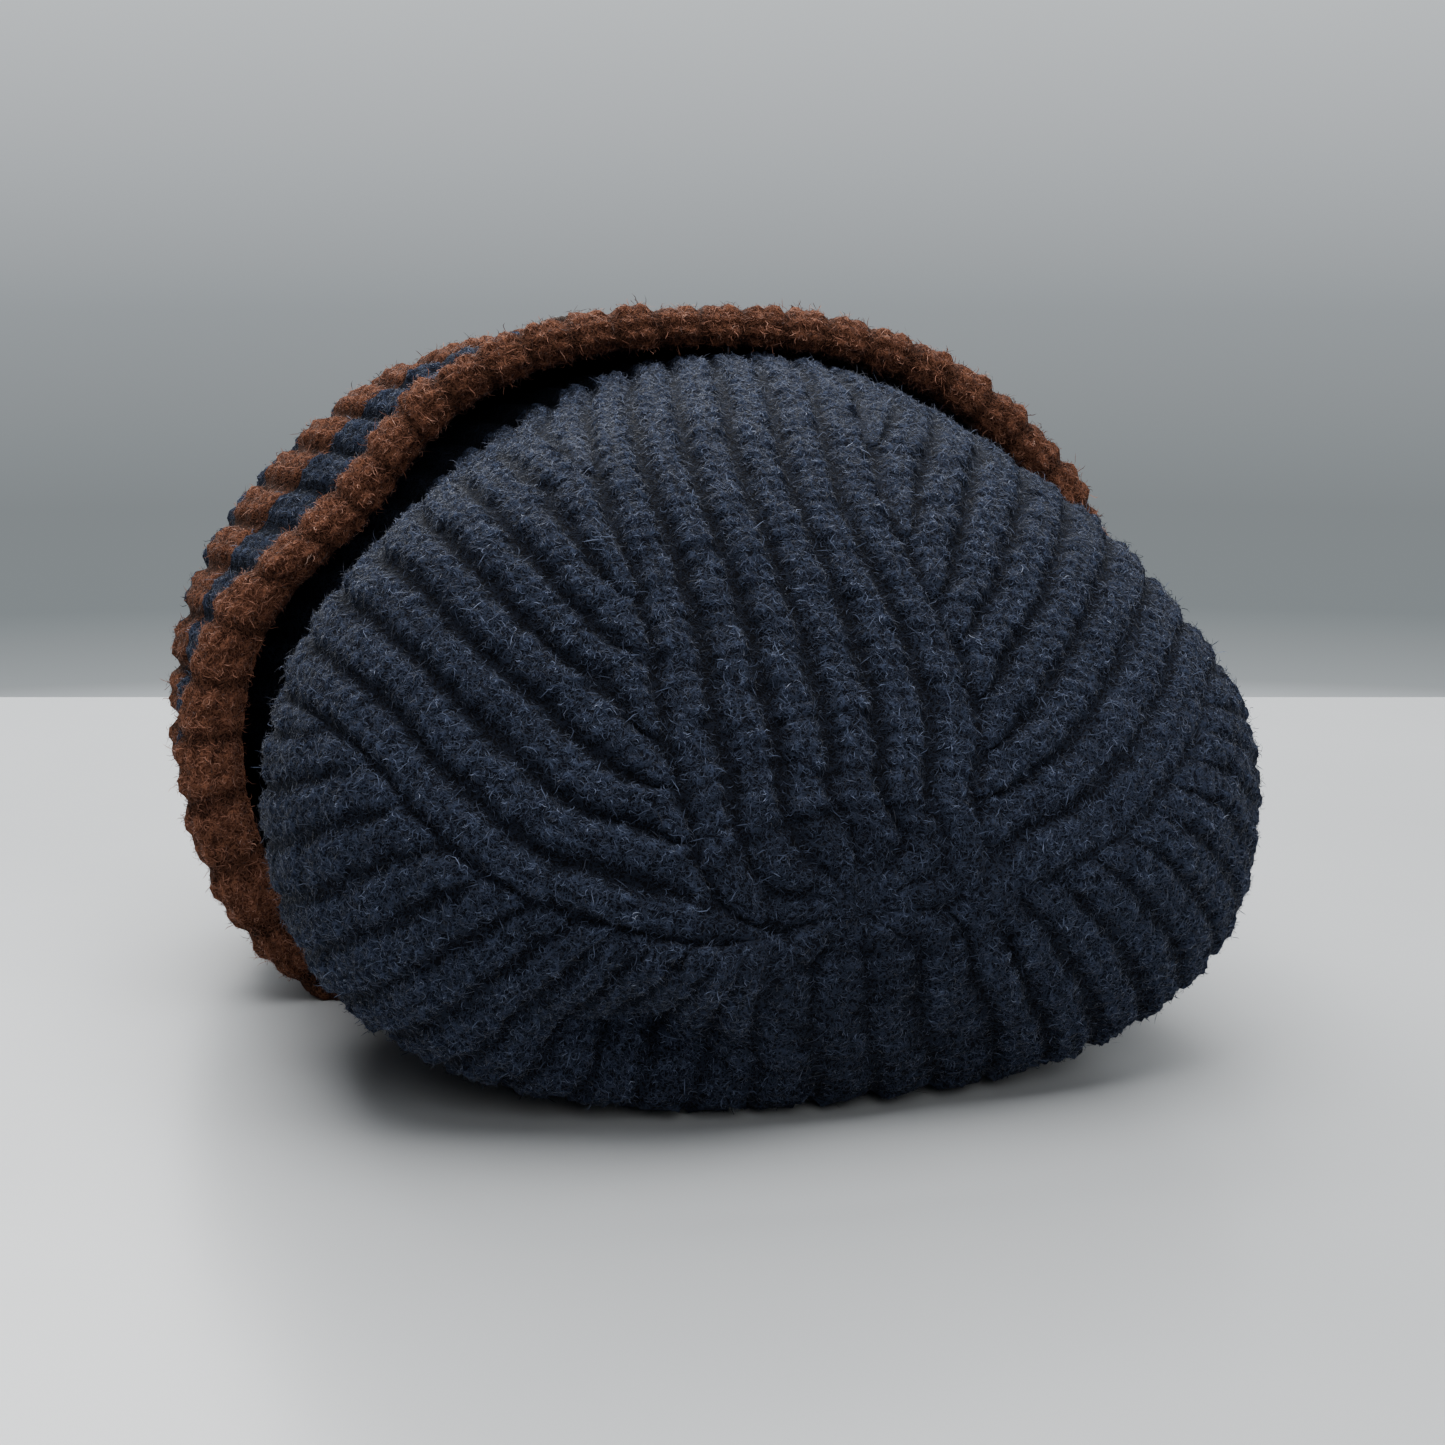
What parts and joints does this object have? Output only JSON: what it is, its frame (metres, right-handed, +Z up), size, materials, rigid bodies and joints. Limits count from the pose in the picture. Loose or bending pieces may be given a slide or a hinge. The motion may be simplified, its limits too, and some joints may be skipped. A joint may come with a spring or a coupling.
{
  "type": "ribbed knit beanie",
  "caption": "Chunky rib-knit beanie with a gathered crown and a striped turned-up cuff with a rolled edge, lying on its back.",
  "frame": {"origin": "on the floor under the middle of the bounding box", "axes": "+Z up from the floor the hat lies on, -Y towards the gathered end of the crown, +Y out of the open brim"},
  "size_m": [0.192, 0.1884, 0.1272],
  "materials": {
    "crown": "fuzzy dark navy wool, two-wale rib knit",
    "cuff_base": "fuzzy dark navy wool, two-wale rib knit",
    "cuff_brown_stripe": "fuzzy reddish brown wool, two-wale rib knit",
    "cuff_navy_stripe": "fuzzy dark navy wool, two-wale rib knit",
    "cuff_rolled_edge": "fuzzy reddish brown wool, rolled rib edge",
    "label_patch": "plain dark brown woven patch"
  },
  "bodies": {
    "root": {"crown": "crown", "cuff_base": "cuff_base", "cuff_brown_stripe": "cuff_brown_stripe", "cuff_navy_stripe": "cuff_navy_stripe", "cuff_rolled_edge": "cuff_rolled_edge", "label_patch": "label_patch"}
  },
  "joints": []
}
